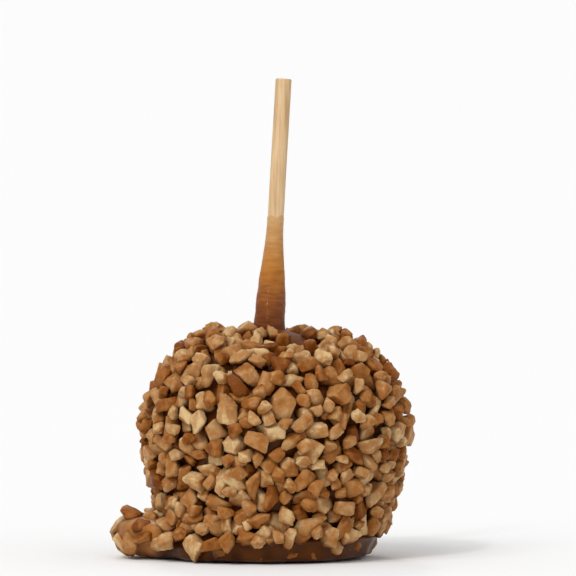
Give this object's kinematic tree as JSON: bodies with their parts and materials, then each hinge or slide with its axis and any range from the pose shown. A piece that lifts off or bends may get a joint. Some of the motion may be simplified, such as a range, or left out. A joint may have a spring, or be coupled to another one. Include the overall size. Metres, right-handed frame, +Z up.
{
  "type": "caramel apple",
  "caption": "Caramel-coated apple rolled in chopped peanuts, standing on a flat foot of set caramel, with a plain round wooden stick pushed in from the top.",
  "frame": {"origin": "on the flat foot, on the table, under the middle of the fruit", "axes": "+Z up along the fruit, +X to the right seen from the front, +Y away from the viewer"},
  "size_m": [0.0826, 0.0755, 0.1318],
  "materials": {
    "nut_crust": "satin",
    "caramel": "gloss",
    "wood": "satin"
  },
  "bodies": {
    "root": {"caramel_apple": "nut_crust", "stick": "wood"}
  },
  "joints": []
}
